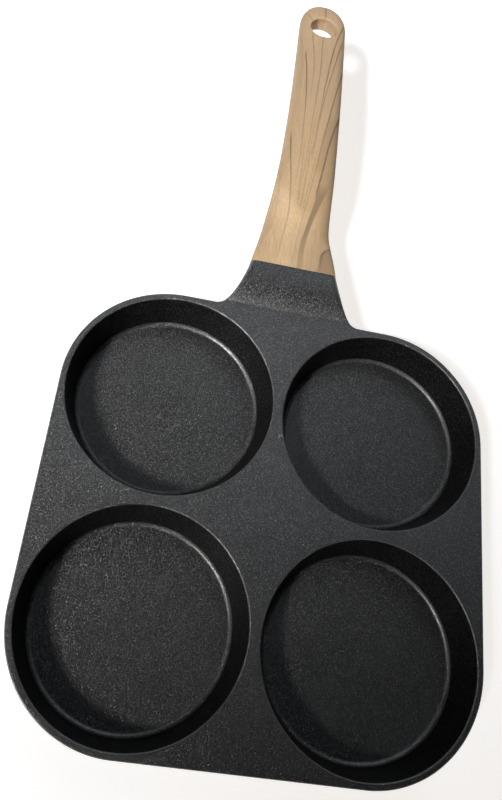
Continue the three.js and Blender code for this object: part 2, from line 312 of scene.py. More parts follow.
def shade(obj):
    """Area-weighted normals: faces that meet at less than the smooth limit shade as one surface."""
    mesh = obj.data
    corner_count, face_count = len(mesh.loops), len(mesh.polygons)
    vertex_of, face_sizes = np.empty(corner_count, int), np.empty(face_count, int)
    normals, areas = np.empty(face_count * 3), np.empty(face_count)
    mesh.loops.foreach_get("vertex_index", vertex_of)
    mesh.polygons.foreach_get("loop_total", face_sizes)
    mesh.polygons.foreach_get("normal", normals)
    mesh.polygons.foreach_get("area", areas)
    normals = normals.reshape(-1, 3)
    face_of = np.repeat(np.arange(face_count), face_sizes)

    # Every corner is paired with each corner at its vertex
    order = np.argsort(vertex_of, kind="stable")
    around = np.bincount(vertex_of)
    starts = np.cumsum(around) - around
    repeats = around[vertex_of[order]]
    first = np.repeat(order, repeats)
    within = np.arange(len(first)) - np.repeat(np.cumsum(repeats) - repeats, repeats)
    second = order[np.repeat(starts[vertex_of[order]], repeats) + within]
    first_face, second_face = face_of[first], face_of[second]
    alignment = np.einsum("ij,ij->i", normals[first_face], normals[second_face])
    near = alignment > math.cos(SMOOTH_LIMIT)

    sums = np.zeros((corner_count, 3))
    np.add.at(sums, first[near], normals[second_face[near]] * areas[second_face[near], None])
    lengths = np.linalg.norm(sums, axis=1, keepdims=True)
    smooth = np.where(lengths > 0, sums / np.maximum(lengths, TINY), normals[face_of])
    mesh.polygons.foreach_set("use_smooth", np.ones(face_count, bool))
    mesh.normals_split_custom_set(smooth.tolist())


def finish_piece(obj, material, node):
    """Gives a piece its material and stands it in for its CAD node."""
    shade(obj)
    obj.data.materials.clear()
    obj.data.materials.append(material)
    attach(obj, "root")
    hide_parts(node)


# Pan body


def neck_side(t):
    """A point of the neck's left side: t is 0 where it leaves the deck's edge and 1 at the joint."""
    flare = 2 * t * (1 - t) * NECK_FLARE_HALF_WIDTH
    half_width = (1 - t) ** 2 * NECK_ROOT_HALF_WIDTH + flare + t**2 * JOINT_HALF_WIDTH
    return -half_width, DECK_HALF + NECK_LENGTH * t**2


def top_height(y):
    """Height of the top face: level over the deck, then a crease and a ramp that levels out."""
    start, end = DECK_HALF + NECK_RAMP_SETBACK, JOINT_Y - NECK_LAND
    past = np.asarray(y, float) - start
    blended = (past + NECK_CREASE_BLEND) ** 2 / (4 * NECK_CREASE_BLEND)
    past = np.where(np.abs(past) < NECK_CREASE_BLEND, blended, np.maximum(past, 0))
    to_go = 1 - np.clip(past / (end - start), 0, 1)
    return lerp(DECK_TOP, JOINT_TOP, 1 - to_go**2)


def bottom_height(y, across):
    """Height of the underside, where across is 0 at the middle and 1 at the side."""
    drop = np.sqrt(smoothstep(y, DECK_HALF - NECK_GUSSET_LENGTH, JOINT_Y))
    side = smoothstep(y, DECK_HALF, DECK_HALF + NECK_SIDE_DEEPENING)
    depth = lerp(1 - smoothstep(across, GUSSET_FLAT_SHARE, 1.0), 1, side)
    return lerp(DECK_BOTTOM, JOINT_BOTTOM, drop * depth)


def plate_outline():
    """Left half of the plate's outline from the joint round to the front, and each point's neck share."""
    points = []
    first = math.sqrt(1 - JOINT_LIP / NECK_LENGTH)
    shares = list(np.linspace(first, 0, NECK_ROWS + 1))
    points.extend(neck_side(t) for t in shares)
    for centre_y, start in ((CORNER_CENTRE, 90), (-CORNER_CENTRE, 180)):
        for angle in np.radians(np.linspace(start, start + 90, CORNER_STEPS + 1)):
            x = -CORNER_CENTRE + CORNER_RADIUS * math.cos(angle)
            points.append((x, centre_y + CORNER_RADIUS * math.sin(angle)))
    points.append((0.0, -DECK_HALF))
    return np.array(points), np.array(shares + [0.0] * (len(points) - len(shares)))


def plate_levels():
    """Rings of the plate's edge from its top face down to its underside, joint to joint."""
    outline, shares = plate_outline()
    steps = np.diff(outline, axis=0)
    steps /= np.linalg.norm(steps, axis=1, keepdims=True)
    tangents = np.vstack((steps[:1], steps[:-1] + steps[1:], steps[-1:]))
    tangents /= np.linalg.norm(tangents, axis=1, keepdims=True)
    inward = np.column_stack((-tangents[:, 1], tangents[:, 0]))
    top_edge, bottom_edge, joint_edge = (
        np.array(edge) for edge in (DECK_TOP_EDGE, DECK_BOTTOM_EDGE, JOINT_EDGE)
    )
    levels = []
    for below in (False, True):
        deck_edge = bottom_edge if below else top_edge
        edge = lerp(deck_edge, joint_edge, shares[:, None])
        for step in range(EDGE_STEPS + 1):
            angle = math.pi / 2 * (1 - step / EDGE_STEPS if below else step / EDGE_STEPS)
            flat = outline + inward * edge[:, :1] * (1 - math.sin(angle))
            turn = edge[:, 1] * (1 - math.cos(angle))
            if below:
                height = bottom_height(flat[:, 1], 1.0) + turn
            else:
                height = top_height(flat[:, 1]) - turn
            left = np.column_stack((flat, height))
            right = (left * (-1, 1, 1))[-2::-1]
            levels.append(np.vstack((left, right)))
    return levels


def plate():
    """Deck and neck in one closed skin: an edge all round, a top face and an underside."""
    levels = plate_levels()
    count = len(levels[0])
    points = [tuple(point) for level in levels for point in level]
    faces = []
    for first in range(0, len(points) - count, count):
        for i in range(count - 1):
            faces.append([first + i, first + i + 1, first + count + i + 1, first + count + i])

    def row_between(left, right, height):
        """Indices of a row from one point to another, with new points between them."""
        row = [left]
        for column in range(1, NECK_COLUMNS):
            share = column / NECK_COLUMNS
            x, y = lerp(np.array(points[left][:2]), np.array(points[right][:2]), share)
            row.append(len(points))
            points.append((x, y, float(height(y, abs(2 * share - 1)))))
        return row + [right]

    def fill(rows):
        for near, far in zip(rows, rows[1:]):
            for column in range(NECK_COLUMNS):
                faces.append([near[column], near[column + 1], far[column + 1], far[column]])

    under = len(points) - count
    top_rows = [
        row_between(i, count - 1 - i, lambda y, across: top_height(y)) for i in range(NECK_ROWS + 1)
    ]
    fill(top_rows)
    faces.append(list(range(NECK_ROWS, count - NECK_ROWS)) + top_rows[-1][-2:0:-1])

    # The gusset under the deck carries on the rows of the neck's underside
    low_rows = [row_between(under + i, under + count - 1 - i, bottom_height) for i in range(NECK_ROWS + 1)]
    root_left, root_right = np.array(points[low_rows[-1][0]]), np.array(points[low_rows[-1][-1]])
    left_side, right_side = [low_rows[-1][0]], [low_rows[-1][-1]]
    for step in range(1, GUSSET_ROWS + 1):
        inset = np.array((0, NECK_GUSSET_LENGTH * step / GUSSET_ROWS, 0))
        left_side.append(len(points))
        points.append(tuple(root_left - inset))
        right_side.append(len(points))
        points.append(tuple(root_right - inset))
        low_rows.append(row_between(left_side[-1], right_side[-1], bottom_height))
    fill(low_rows)
    deck_edge = [under + i for i in range(NECK_ROWS, count - NECK_ROWS)]
    faces.append(deck_edge + right_side[1:] + low_rows[-1][-2:0:-1] + left_side[:0:-1])

    # The end at the joint, with its edge broken
    loop = list(range(0, len(levels) * count, count)) + low_rows[0][1:-1]
    loop += list(range(len(levels) * count - 1, 0, -count)) + top_rows[0][-2:0:-1]
    end = []
    for i in loop:
        x, _, z = points[i]
        end.append(len(points))
        narrowed = x * (1 - JOINT_LIP / JOINT_HALF_WIDTH)
        lowered = lerp(JOINT_MIDDLE, z, 1 - JOINT_LIP / JOINT_HALF_HEIGHT)
        points.append((narrowed, JOINT_Y, lowered))
    for i in range(len(loop)):
        k = (i + 1) % len(loop)
        faces.append([loop[i], loop[k], end[k], end[i]])
    faces.append(end)
    return points, faces


def cup_shell(x, y):
    """Outer form of a cup, from its base up into the deck."""
    foot, heel = (0, 0), (CUP_BASE_RADIUS, 0)
    shoulder = (CUP_SHOULDER_RADIUS, DECK_MIDDLE)
    profile = [foot, *rounded_corner(foot, heel, shoulder, BASE_ROUNDING), shoulder, (0, DECK_MIDDLE)]
    return turned(profile, x, y, CUP_SIDES)


def cup_space(x, y):
    """Space inside a cup, with the rounding at its rim."""
    centre, toe = (0, CUP_FLOOR), (CUP_FLOOR_RADIUS, CUP_FLOOR)
    rim, deck = (CUP_RIM_RADIUS, DECK_TOP), (2 * CUP_RIM_RADIUS, DECK_TOP)
    lip = rounded_corner(toe, rim, deck, RIM_ROUNDING)
    mouth = (lip[-1][0], DECK_TOP + OVERCUT)
    profile = [centre, *rounded_corner(centre, toe, rim, FLOOR_ROUNDING), *lip, mouth, (0, mouth[1])]
    return turned(profile, x, y, CUP_SIDES)


def cylinder(radius, bottom, top, x, y, sides):
    return turned([(0, bottom), (radius, bottom), (radius, top), (0, top)], x, y, sides)


def tang_height(along):
    return JOINT_MIDDLE + TANG_OFFSET + TANG_CLIMB * along / TANG_LENGTH


def tang(gap):
    """Tang that the handle slides onto, or with a gap the socket for it."""
    width, height = TANG_HALF_WIDTH + gap, TANG_HALF_HEIGHT + gap
    stations = (-TANG_ROOT_LENGTH, TANG_LENGTH + gap)
    return loft([ring(JOINT_Y + s, tang_height(s), width, height, TANG_SQUARENESS) for s in stations])


def pan_casting():
    body = new_object("pan_casting", plate())
    combine(body, merged(tang(0), *(cup_shell(*centre) for centre in CUP_CENTRES.values())), "UNION")
    spaces = [cup_space(*centre) for centre in CUP_CENTRES.values()]
    recess = (DISC_RADIUS + SEAT_GAP, -OVERCUT, DISC_THICKNESS + SEAT_GAP)
    recesses = [cylinder(*recess, *centre, CUP_SIDES) for centre in CUP_CENTRES.values()]
    hole_top = screw_high[2] + SEAT_GAP
    hole = cylinder(SCREW_SHANK_RADIUS + SEAT_GAP, SCREW_SEAT, hole_top, 0, SCREW_Y, ROUND_SIDES)
    combine(body, merged(*spaces, *recesses, hole), "DIFFERENCE")
    return body


# Handle


def catmull_rom(stations, share):
    """A point on the smooth curve through the stations, and past its ends in a straight line."""
    place = share * (len(stations) - 1)
    first = min(int(place), len(stations) - 2)
    t = place - first
    padded = np.vstack((2 * stations[0] - stations[1], stations, 2 * stations[-1] - stations[-2]))
    p0, p1, p2, p3 = padded[first : first + 4]
    slope, curve = p2 - p0, 2 * p0 - 5 * p1 + 4 * p2 - p3
    return 0.5 * (2 * p1 + slope * t + curve * t**2 + (3 * p1 - p0 - 3 * p2 + p3) * t**3)


def handle_sections():
    """Rows of y, middle height, half width, half height and squareness along the handle."""
    end_along = TIP_Y - END_ROUND_LENGTH - JOINT_Y
    stations = np.array((
        (JOINT_LINE, JOINT_RISE, JOINT_HALF_WIDTH, JOINT_HALF_HEIGHT, JOINT_SQUARENESS),
        SHOULDER,
        THROAT,
        CREST,
        (end_along, END_RISE, END_HALF_WIDTH, END_HALF_HEIGHT, END_SQUARENESS),
    ))
    rows = [catmull_rom(stations, i / HANDLE_ROWS) for i in range(HANDLE_ROWS + 1)]
    slope = (rows[-1][1] - rows[-2][1]) / (rows[-1][0] - rows[-2][0])
    for i in range(1, END_ROWS + 1):
        share = math.sin(END_SWEEP * i / END_ROWS)
        along = END_ROUND_LENGTH * share
        half_width = END_HALF_WIDTH * math.sqrt(1 - share**2)
        half_height = END_HALF_HEIGHT * (1 - share**END_ROUNDNESS) ** (1 / END_ROUNDNESS)
        rows.append((end_along + along, END_RISE + slope * along, half_width, half_height, END_SQUARENESS))
    rows = np.array(rows)
    rows[:, 0] += JOINT_Y
    rows[:, 1] += DECK_TOP
    past_round = rows[:, 4] - ELLIPSE_SQUARENESS
    rows[:, 4] = ELLIPSE_SQUARENESS + (past_round + np.hypot(past_round, SQUARENESS_BLEND)) / 2
    return rows


def handle_form(sections):
    rings = [ring(*section) for section in sections]
    y, middle, half_width, half_height, squareness = sections[0]
    broken = ring(y, middle, half_width - JOINT_LIP, half_height - JOINT_LIP, squareness)
    rings[0] = rings[0] + (0, JOINT_LIP, 0)
    return loft([broken] + [one for one in rings if one is rings[0] or one[0][1] > rings[0][0][1]])


def hang_hole(sections):
    """Hanging hole, its rounding following the handle's crowned faces all the way round."""
    centre_y = TIP_Y - HANG_HOLE_FROM_TIP
    reach = HANG_HOLE_RADIUS + HANG_HOLE_ROUNDING

    def surface(radius, angle, side):
        x, y = radius * math.cos(angle), centre_y + radius * math.sin(angle)
        middle, half_width, half_height, squareness = (
            np.interp(y, sections[:, 0], sections[:, k]) for k in range(1, 5)
        )
        fall = max(0.0, 1 - abs(x / half_width) ** squareness)
        return middle + side * half_height * fall ** (1 / squareness)

    rings = []
    for i in range(ROUND_SIDES):
        angle = 2 * math.pi * i / ROUND_SIDES
        low = (HANG_HOLE_RADIUS, surface(HANG_HOLE_RADIUS, angle, -1))
        high = (HANG_HOLE_RADIUS, surface(HANG_HOLE_RADIUS, angle, 1))
        below = rounded_corner((reach, surface(reach, angle, -1)), low, high, HANG_HOLE_ROUNDING)
        above = rounded_corner(low, high, (reach, surface(reach, angle, 1)), HANG_HOLE_ROUNDING)
        profile = [(below[0][0], DECK_TOP + END_RISE - 2 * OVERCUT), *below]
        profile += [*above, (above[-1][0], DECK_TOP + END_RISE + 2 * OVERCUT)]
        c, s = math.cos(angle), math.sin(angle)
        rings.append([(r * c, centre_y + r * s, z) for r, z in profile])
    return loft([list(level) for level in zip(*rings)])


def screw_recess(sections):
    """Recess for the screw's head, from below, and the hole for its shank up into the socket."""
    radius = SCREW_HEAD_RADIUS + RECESS_CLEARANCE
    middle, half_height = (np.interp(SCREW_Y, sections[:, 0], sections[:, k]) for k in (1, 3))
    mouth = middle - half_height
    shank = SCREW_SHANK_RADIUS + SEAT_GAP
    profile = [
        (0, mouth - OVERCUT),
        (radius + RECESS_EDGE, mouth - OVERCUT),
        *rounded_corner((radius + OVERCUT, mouth), (radius, mouth), (radius, SCREW_SEAT), RECESS_EDGE),
        (radius, SCREW_SEAT),
        (shank, SCREW_SEAT),
        (shank, tang_height(TANG_LENGTH / 2)),
        (0, tang_height(TANG_LENGTH / 2)),
    ]
    return turned(profile, 0, SCREW_Y, ROUND_SIDES)


def handle_moulding():
    sections = handle_sections()
    grip = new_object("handle_moulding", handle_form(sections), HANDLE_ORIGIN)
    combine(grip, merged(tang(SEAT_GAP), hang_hole(sections)), "DIFFERENCE")
    combine(grip, screw_recess(sections), "DIFFERENCE")
    return grip


# Discs and screw


def base_disc(name):
    """Perforated disc, its holes in rings of a triangular grid, with broken edges."""
    x, y = CUP_CENTRES[name]
    low, high = 0, DISC_THICKNESS
    edge = DISC_EDGE
    outer = [(0, low), (DISC_RADIUS - edge, low), (DISC_RADIUS, low + edge)]
    outer += [(DISC_RADIUS, high - edge), (DISC_RADIUS - edge, high), (0, high)]
    disc = new_object(f"base_plate_{name}", turned(outer, x, y, CUP_SIDES), (x, y, 0))
    flare = DISC_HOLE_RADIUS + edge + OVERCUT
    hole = [(0, low - OVERCUT), (flare, low - OVERCUT), (DISC_HOLE_RADIUS, low + edge)]
    hole += [(DISC_HOLE_RADIUS, high - edge), (flare, high + OVERCUT), (0, high + OVERCUT)]
    pitch = (DISC_RADIUS - DISC_HOLE_EDGE - DISC_HOLE_RADIUS) / DISC_HOLE_RINGS
    for row in range(-DISC_HOLE_RINGS, DISC_HOLE_RINGS + 1):
        columns = 2 * DISC_HOLE_RINGS + 1 - abs(row)
        for column in range(columns):
            across = (column - (columns - 1) / 2) * pitch
            along = row * pitch * math.sqrt(3) / 2
            combine(disc, turned(hole, x + across, y + along, HOLE_SIDES), "DIFFERENCE")
    return disc


def cross_screw():
    low, high = screw_low[2], screw_high[2]
    head_top = low + SCREW_HEAD_HEIGHT
    foot, heel, shoulder = (0, low), (SCREW_HEAD_RADIUS, low), (SCREW_HEAD_RADIUS, head_top)
    profile = [foot, *rounded_corner(foot, heel, shoulder, SCREW_HEAD_ROUNDING), shoulder]
    profile += [(SCREW_SHANK_RADIUS, head_top), (SCREW_SHANK_RADIUS, high - SCREW_TIP_CHAMFER)]
    profile += [(SCREW_SHANK_RADIUS - SCREW_TIP_CHAMFER, high), (0, high)]
    screw = new_object("cross_screw", turned(profile, 0, SCREW_Y, ROUND_SIDES), (0, SCREW_Y, low))
    length, width, depth = CROSS_SLOT
    for x, y in ((length / 2, width / 2), (width / 2, length / 2)):
        sides = ((-x, -y), (x, -y), (x, y), (-x, y))
        slot = [[(a, SCREW_Y + b, z) for a, b in sides] for z in (low - depth, low + depth)]
        combine(screw, loft(slot), "DIFFERENCE")
    return screw


# Shader nodes


def new_material(name):
    material = bpy.data.materials.new(name)
    material.use_nodes = True
    tree = material.node_tree
    return material, tree, tree.nodes["Principled BSDF"]


def feed(tree, socket, value):
    """Links a socket to another node's output, or sets it to a constant."""
    if isinstance(value, bpy.types.NodeSocket):
        tree.links.new(value, socket)
    else:
        socket.default_value = value


def add(tree, kind, inputs, output=0, **settings):
    """Adds a node, with its settings and inputs, and returns one of its outputs."""
    node = tree.nodes.new(kind)
    for name, value in settings.items():
        setattr(node, name, value)
    for key, value in inputs.items():
        feed(tree, node.inputs[key], value)
    return node.outputs[output]


def compute(tree, operation, *values):
    return add(tree, "ShaderNodeMath", dict(enumerate(values)), operation=operation)


def product(tree, first, *others):
    for other in others:
        first = compute(tree, "MULTIPLY", first, other)
    return first


def fade(tree, value, start, end, low=0.0, high=1.0):
    """Goes smoothly from low to high as the value goes from start to end."""
    inputs = {"Value": value, "From Min": start, "From Max": end, "To Min": low, "To Max": high}
    return add(tree, "ShaderNodeMapRange", inputs, interpolation_type="SMOOTHSTEP")


def mix(tree, share, a, b):
    """A colour between a and b."""
    return add(tree, "ShaderNodeMix", {0: share, 6: a, 7: b}, output=2, data_type="RGBA")


def vector_math(tree, operation, inputs, output=0):
    return add(tree, "ShaderNodeVectorMath", inputs, output=output, operation=operation)


def components(tree, vector):
    """The x, y and z of a vector."""
    return [add(tree, "ShaderNodeSeparateXYZ", {0: vector}, output=k) for k in range(3)]


def chance(tree, cell, seed):
    """A random number from 0 to 1 for each cell."""
    inputs = {"Vector": cell, "W": seed}
    return add(tree, "ShaderNodeTexWhiteNoise", inputs, noise_dimensions="4D")


def noise(tree, place, scale, detail=2.0, roughness=0.5):
    inputs = {"Vector": place, "Scale": scale, "Detail": detail, "Roughness": roughness}
    return add(tree, "ShaderNodeTexNoise", inputs)


def object_place(tree, stretch=(1, 1, 1)):
    """Where a point is from its object's origin, in millimetres, times a stretch."""
    place = add(tree, "ShaderNodeTexCoord", {}, output="Object")
    scale = tuple(s / MM for s in stretch)
    return vector_math(tree, "MULTIPLY", {0: place, 1: scale})


def object_normal(tree):
    return add(tree, "ShaderNodeTexCoord", {}, output="Normal")


def stretched_noise(tree, stretch, detail, roughness):
    return noise(tree, object_place(tree, stretch), 1.0, detail, roughness)


def bump(tree, height, distance):
    """A normal for a height between 0 and 1 that stands for a distance in millimetres."""
    inputs = {"Height": height, "Distance": distance * MM, "Strength": 1.0}
    return add(tree, "ShaderNodeBump", inputs)


# Materials. A fade's numbers are where it starts and ends, then what it goes from and to if not 0 and 1.


# Coating
COATING_BLACK = (0.0020, 0.0023, 0.0027, 1)
COATING_DARK = (0.0034, 0.0037, 0.0041, 1)
# The pale colour is painted sheen, for the light on the deck towards the neck
COATING_PAINTED_SHEEN = (0.0310, 0.0335, 0.0370, 1)
COATING_SPECK = (0.800, 0.830, 0.870, 1)
COATING_IOR = 1.82
COATING_ROUGHNESS = (0.3, 0.7, 0.34, 0.42)
GRIT_SCALE = 1.8
GRIT_ROUGHNESS = 0.6
GRIT_HEIGHT = 0.03
SWAY_SCALE = 0.05
CELL_SCALE = 6.0

# Where the painted sheen makes the casting pale: by height, by the distance along it, and by slow noise
SHEEN_ON_DECK = (DECK_TOP - 1.5, DECK_TOP - 0.2)
SHEEN_TO_NECK = (-DECK_HALF, 0.4 * DECK_HALF)
ABOVE_DECK = (DECK_TOP + 0.1, DECK_TOP + 0.8)
SHEEN_ABOVE_DECK = (*ABOVE_DECK, 1.0, 0.25)
SHEEN_SWAY = (0.3, 0.7, 0.8, 1.0)

# The ramp by the normal's y, and rounded edges by its z, which is small on a wall and 1 on a level face
RAMP_FACING = (-0.1, -0.3)
EDGE_FROM_WALL = (0.3, 0.6)
EDGE_TO_LEVEL = (0.90, 0.98, 1.0, 0.0)

# Flakes are about half of the cells, and specks a few of them
FLAKE_SEED = 7.0
FLAKE_PICK = (0.48, 0.52)
FLAKE_TILT = 0.90
SPECK_SEED = 3.0
SPECK_PICK = (0.93, 0.95)
# More specks on the ramp and on rounded edges are painted glints; fewer on steep walls and towards the
# front are painted shade
SPECK_PAINTED_GLINT_ON_RAMP = (0.0, 1.0, 0.35, 0.70)
SPECK_PAINTED_SHADE_ON_WALL = (0.25, 0.6, 0.5, 1.0)
SPECK_PAINTED_SHADE_TO_FRONT = (-DECK_HALF, 0.0, 0.4, 1.0)
SPECK_PAINTED_GLINT_ON_EDGE = (0.0, 1.0, 1.0, 1.8)

SHINE_FROM_WALL = (0.25, 0.6, 0.07, 1.0)
SHINE_TO_LEVEL = (0.85, 0.98, 1.0, 0.5)
SHINE_ON_RAMP = (0.0, 1.0, 1.0, 0.85)


def coating_material():
    """Near-black non-stick coating: a fine grit, flakes each at their own tilt, and pale specks."""
    material, tree, shader = new_material("non_stick_coating")
    place = object_place(tree)
    _, along, height = components(tree, place)
    _, facing, level = components(tree, object_normal(tree))
    grit = noise(tree, place, GRIT_SCALE, roughness=GRIT_ROUGHNESS)
    sway = noise(tree, place, SWAY_SCALE)
    cell = add(tree, "ShaderNodeTexVoronoi", {"Vector": place, "Scale": CELL_SCALE}, output="Position")

    # Flakes tilt the normal
    reach = product(tree, fade(tree, chance(tree, cell, FLAKE_SEED), *FLAKE_PICK), FLAKE_TILT)
    tilt = add(tree, "ShaderNodeTexWhiteNoise", {"Vector": cell}, output="Color")
    tilt = vector_math(tree, "SUBTRACT", {0: tilt, 1: (0.5, 0.5, 0.5)})
    tilt = vector_math(tree, "SCALE", {0: tilt, "Scale": reach})
    tilted = vector_math(tree, "ADD", {0: bump(tree, grit, GRIT_HEIGHT), 1: tilt})
    feed(tree, shader.inputs["Normal"], vector_math(tree, "NORMALIZE", {0: tilted}))

    # Painted sheen: paler on the deck towards the neck, for the light that the deck reflects there
    pale = product(
        tree,
        fade(tree, height, *SHEEN_ON_DECK),
        fade(tree, along, *SHEEN_TO_NECK),
        fade(tree, height, *SHEEN_ABOVE_DECK),
        fade(tree, sway, *SHEEN_SWAY),
    )
    colour = mix(tree, sway, COATING_BLACK, COATING_DARK)
    colour = mix(tree, pale, colour, COATING_PAINTED_SHEEN)

    # Pale specks of the coating, with painted glints and shade: more of them on the ramp and on rounded
    # edges as painted glints, fewer towards the front and on steep walls as painted shade
    ramp = product(tree, fade(tree, height, *ABOVE_DECK), fade(tree, facing, *RAMP_FACING))
    edge = compute(tree, "MINIMUM", fade(tree, level, *EDGE_FROM_WALL), fade(tree, level, *EDGE_TO_LEVEL))
    edge = product(tree, edge, compute(tree, "SUBTRACT", 1.0, ramp))
    speck_with_painted_light = product(
        tree,
        fade(tree, chance(tree, cell, SPECK_SEED), *SPECK_PICK),
        fade(tree, ramp, *SPECK_PAINTED_GLINT_ON_RAMP),
        fade(tree, level, *SPECK_PAINTED_SHADE_ON_WALL),
        fade(tree, along, *SPECK_PAINTED_SHADE_TO_FRONT),
        fade(tree, edge, *SPECK_PAINTED_GLINT_ON_EDGE),
    )
    feed(tree, shader.inputs["Base Color"], mix(tree, speck_with_painted_light, colour, COATING_SPECK))

    # Dullest on steep walls and shiniest on rounded edges
    shine = fade(tree, level, *SHINE_FROM_WALL)
    shine = compute(tree, "MINIMUM", shine, fade(tree, level, *SHINE_TO_LEVEL))
    shine = product(tree, shine, fade(tree, ramp, *SHINE_ON_RAMP))
    feed(tree, shader.inputs["Specular IOR Level"], shine)
    feed(tree, shader.inputs["Roughness"], fade(tree, grit, *COATING_ROUGHNESS))
    shader.inputs["IOR"].default_value = COATING_IOR
    return material


# Edges of the pale and the brown wood on the handle's top, each a smooth curve through its points, which
# are the distance from the joint and x
STREAK_LEFT = ((45.3, 5.9), (29.9, 4.6), (18.2, 2.4), (1.9, 0.9))
STREAK_RIGHT = ((45.3, 12.6), (34.9, 8.8), (22.0, 5.5), (1.5, 3.4))
BAND_LEFT = ((79.9, 6.3), (67.0, 4.9), (49.3, 2.7))
BAND_RIGHT = ((83.5, 12.7), (65.3, 8.5), (51.3, 6.7), (38.0, 5.4))
PALE_SIDE = ((67.0, -11.2), (31.5, -6.5), (1.5, -9.7))
PALE_END = ((37.0, 1.9), (23.3, 0.5), (4.0, -1.5))
KNOT_EDGE = ((15.0, 17.4), (11.5, 13.6), (7.0, 12.2), (0.5, 11.2))

# Printed grain: such a curve for each line, its half width, and its strength at its far and its near end
GRAIN_LINES = (
    (((156.5, 0.25), (152.0, 0.1), (148.0, 0.0)), 0.34, 0.80, 0.80),
    (((149.5, -10.2), (147.5, -8.5), (145.0, -6.9)), 0.34, 0.70, 0.70),
    (((133.6, -6.0), (122.8, -4.7), (106.0, -3.9), (89.0, -4.1)), 0.28, 0.75, 0.25),
    (((133.4, 0.0), (112.0, -0.4), (80.0, -1.6), (43.0, -2.8)), 0.28, 0.65, 0.30),
    (((120.0, -8.7), (99.0, -7.0), (72.3, -5.9), (41.0, -5.8)), 0.30, 1.00, 0.25),
    (((146.3, 10.9), (125.0, 6.1), (93.5, 2.5), (55.0, -0.3)), 0.36, 1.00, 0.40),
    (((134.3, 10.9), (110.3, 6.3), (78.3, 2.0), (55.0, 0.6)), 0.32, 0.85, 0.35),
    (((112.3, 12.0), (93.5, 8.7), (67.0, 4.9), (37.0, 1.9)), 0.34, 0.95, 0.35),
    (((38.0, 2.0), (23.3, 0.5), (4.0, -1.5)), 0.30, 0.35, 0.20),
    (BAND_RIGHT, 0.42, 1.00, 0.90),
    (((67.0, -11.2), (45.3, -8.5), (31.5, -6.5), (24.0, -6.3)), 0.34, 0.90, 0.45),
    (((26.0, -6.2), (13.6, -7.8), (1.5, -9.7)), 0.40, 0.30, 0.15),
    (((62.0, -4.2), (46.0, -3.9), (33.0, -2.4)), 0.45, 0.20, 0.35),
    (((58.0, -1.0), (44.0, -1.2), (31.5, -0.9)), 0.45, 0.20, 0.35),
    (((84.0, 0.2), (66.0, -0.9), (46.0, -1.6)), 0.26, 0.30, 0.30),
    (((60.0, 2.6), (45.0, 1.2), (31.0, 0.3)), 0.30, 0.20, 0.35),
    (((47.0, -13.4), (36.0, -12.7), (24.0, -12.6)), 0.34, 0.30, 0.15),
    (((132.0, -11.5), (116.0, -10.1), (96.0, -9.5)), 0.34, 0.25, 0.25),
    (KNOT_EDGE, 0.60, 0.95, 0.40),
)
GRAIN_FADE = 3.0

# A line is full up to its core and gone at its reach, as shares of its half width
LINE_CORE = 0.2
LINE_REACH = 1.7
LINE_UNEVENNESS = (0.25, 0.6, 0.65, 1.0)

# An area is fades past its edges, then fades along the handle
PALE_AREA = (
    (
        (PALE_SIDE, (-1.0, 0.4, 0.80, 1.0)),
        (PALE_END, (-0.5, 0.7, 1.0, 0.6)),
        (STREAK_RIGHT, (0.0, 3.0, 1.0, 0.3)),
    ),
    (),
)
STREAK = (
    ((STREAK_LEFT, (-0.3, 0.3)), (STREAK_RIGHT, (-0.7, 0.6, 1.0, 0.0))),
    ((1.0, 26.0, 0.45, 1.0), (36.0, 49.0, 1.0, 0.0)),
)
BAND = (
    ((BAND_LEFT, (-0.3, 0.5)), (BAND_RIGHT, (-0.3, 0.3, 0.42, 0.0))),
    ((44.0, 52.0), (76.0, 84.0, 1.0, 0.0)),
)
SHADE_BESIDE = (
    ((BAND_RIGHT, (-0.2, 0.3)), (BAND_RIGHT, (0.0, 8.0, 0.33, 0.20))),
    ((30.0, 42.0), (94.0, 106.0, 1.0, 0.0)),
)
KNOT = (((KNOT_EDGE, (-0.3, 0.7)),), ((12.0, 16.0, 0.65, 0.0),))

# The pale wood's point: x and the distance from the joint, how fast it falls to the left, and its fade
PALE_POINT = (-0.7, 29.5)
PALE_SPREAD = 1.1
PALE_TIP = (PALE_POINT[1] - 5.0, PALE_POINT[1] + 3.0, 1.0, 0.0)

WOOD_FAR = (0.518, 0.370, 0.234, 1)
WOOD_NEAR = (0.595, 0.415, 0.240, 1)
WOOD_PALE = (0.780, 0.556, 0.334, 1)
WOOD_BROWN = (0.370, 0.255, 0.152, 1)
WOOD_STREAK = (0.290, 0.200, 0.119, 1)
WOOD_LINE = (0.160, 0.106, 0.062, 1)

# Noise along the handle: its stretch across, along and up, its detail and its roughness
FIBRE = ((1.5, 0.035, 1.5), 4.0, 0.6)
FINE_FIBRE = ((3.5, 0.16, 3.5), 3.0, 0.6)
BROAD_BANDS = ((0.16, 0.012, 0.16), 3.0, 0.5)
DRIFT = ((0.05, 0.05, 0.05), 2.0, 0.5)
LINES_BELOW = ((0.42, 0.007, 0.42), 3.0, 0.5)
DRIFT_REACH = 0.8
FIBRE_HEIGHT = 0.02
TOP_FACING = (-0.5, -0.2)
BELOW_RISE = (0.56, 0.62)
BELOW_FALL = (0.62, 0.68, 0.6, 0.0)
NEAR_TO_FAR = (40.0, 130.0)
BROAD_BROWN = (0.35, 0.75, 0.0, 0.22)
FIBRE_BROWN = (0.35, 0.75, 0.0, 0.30)
FINE_BROWN = (0.35, 0.70, 0.0, 0.40)
# Painted shade and light by the normal's x: the handle's left side darker, its right side lighter
PAINTED_SIDE_SHADING = (-0.75, 0.35, 0.70, 1.18)
WOOD_ROUGHNESS = (0.3, 0.7, 0.58, 0.70)


